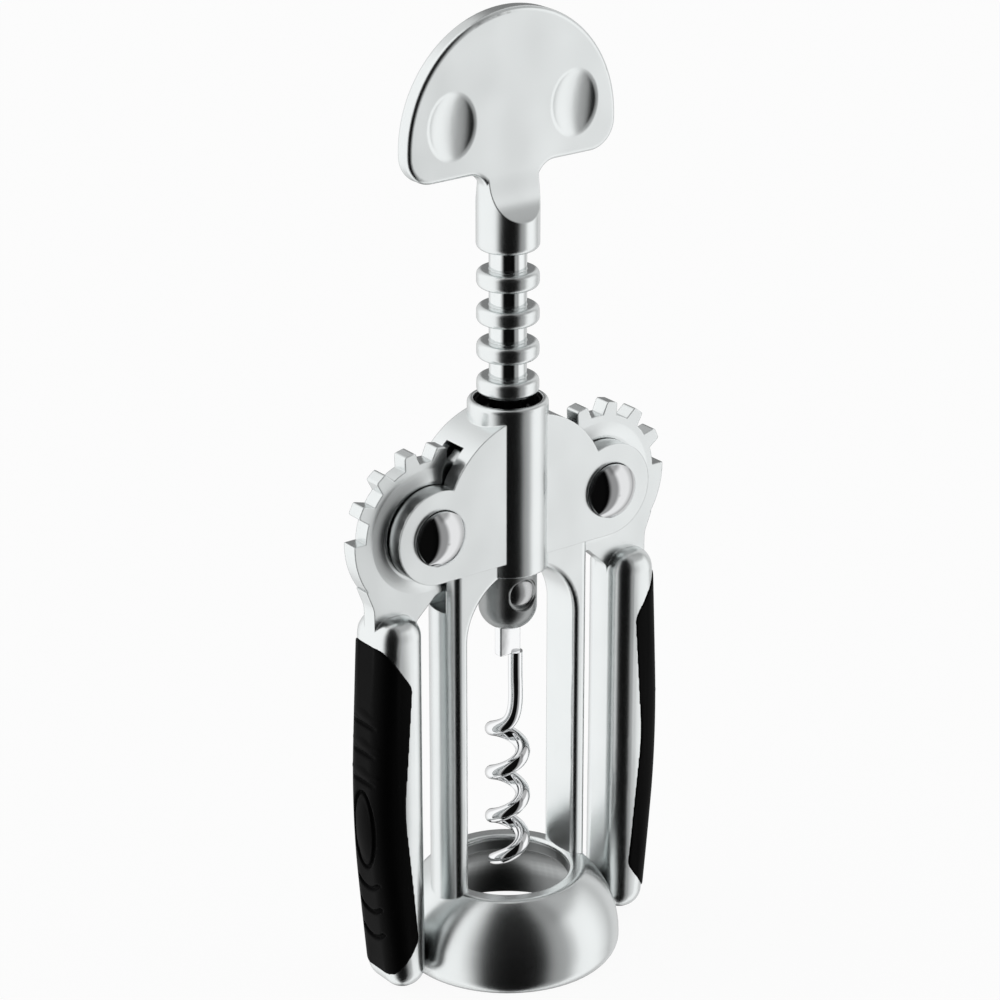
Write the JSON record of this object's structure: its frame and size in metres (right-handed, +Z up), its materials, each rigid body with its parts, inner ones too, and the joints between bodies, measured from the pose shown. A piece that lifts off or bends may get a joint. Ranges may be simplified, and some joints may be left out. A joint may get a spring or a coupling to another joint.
{
  "type": "wing corkscrew",
  "caption": "Wing corkscrew: bell foot on two legs, arched gear case, ringed rack spindle with half-moon handle and wire worm, and geared wings with rubber grips.",
  "frame": {"origin": "centre of the bell's bottom rim, on the surface that the corkscrew stands on", "axes": "+Z up along the screw's axis, +X towards the right wing, front is -Y"},
  "size_m": [0.0714, 0.0436, 0.1872],
  "materials": {
    "satin_metal": "satin nickel-plated die casting",
    "polished_metal": "polished chrome",
    "black_rubber": "matt black rubber",
    "black_plastic": "matt black nylon"
  },
  "bodies": {
    "frame": {"body_casting": "satin_metal", "left_pivot_pin": "polished_metal", "right_pivot_pin": "polished_metal"},
    "screw_guide": {"guide_bush": "black_plastic"},
    "screw": {"spindle": "satin_metal", "handle": "satin_metal", "worm": "polished_metal", "worm_rivet": "polished_metal"},
    "left_wing": {"left_lever": "satin_metal", "left_grip": "black_rubber"},
    "right_wing": {"right_lever": "satin_metal", "right_grip": "black_rubber"}
  },
  "joints": [
    {"name": "left_wing_swing", "type": "hinge", "parent": "frame", "child": "left_wing", "pos_m": [-0.01976, 0, 0.09234], "axis": [0, 1, 0], "range_deg": [0, 105]},
    {"name": "right_wing_swing", "type": "hinge", "parent": "frame", "child": "right_wing", "pos_m": [0.01976, 0, 0.09234], "axis": [0, -1, 0], "range_deg": [0, 105]},
    {"name": "screw_turn", "type": "hinge", "parent": "frame", "child": "screw_guide", "pos_m": [0, 0, 0.1105], "axis": [0, 0, 1], "continuous": true},
    {"name": "screw_travel", "type": "slide", "parent": "screw_guide", "child": "screw", "axis": [0, 0, -1], "range_m": [0, 0.02798]}
  ],
  "couplings": [
    {"joint": "right_wing_swing", "follows": "left_wing_swing", "ratio": 1},
    {"joint": "screw_travel", "follows": "left_wing_swing", "m_per_rad": 0.015263}
  ]
}
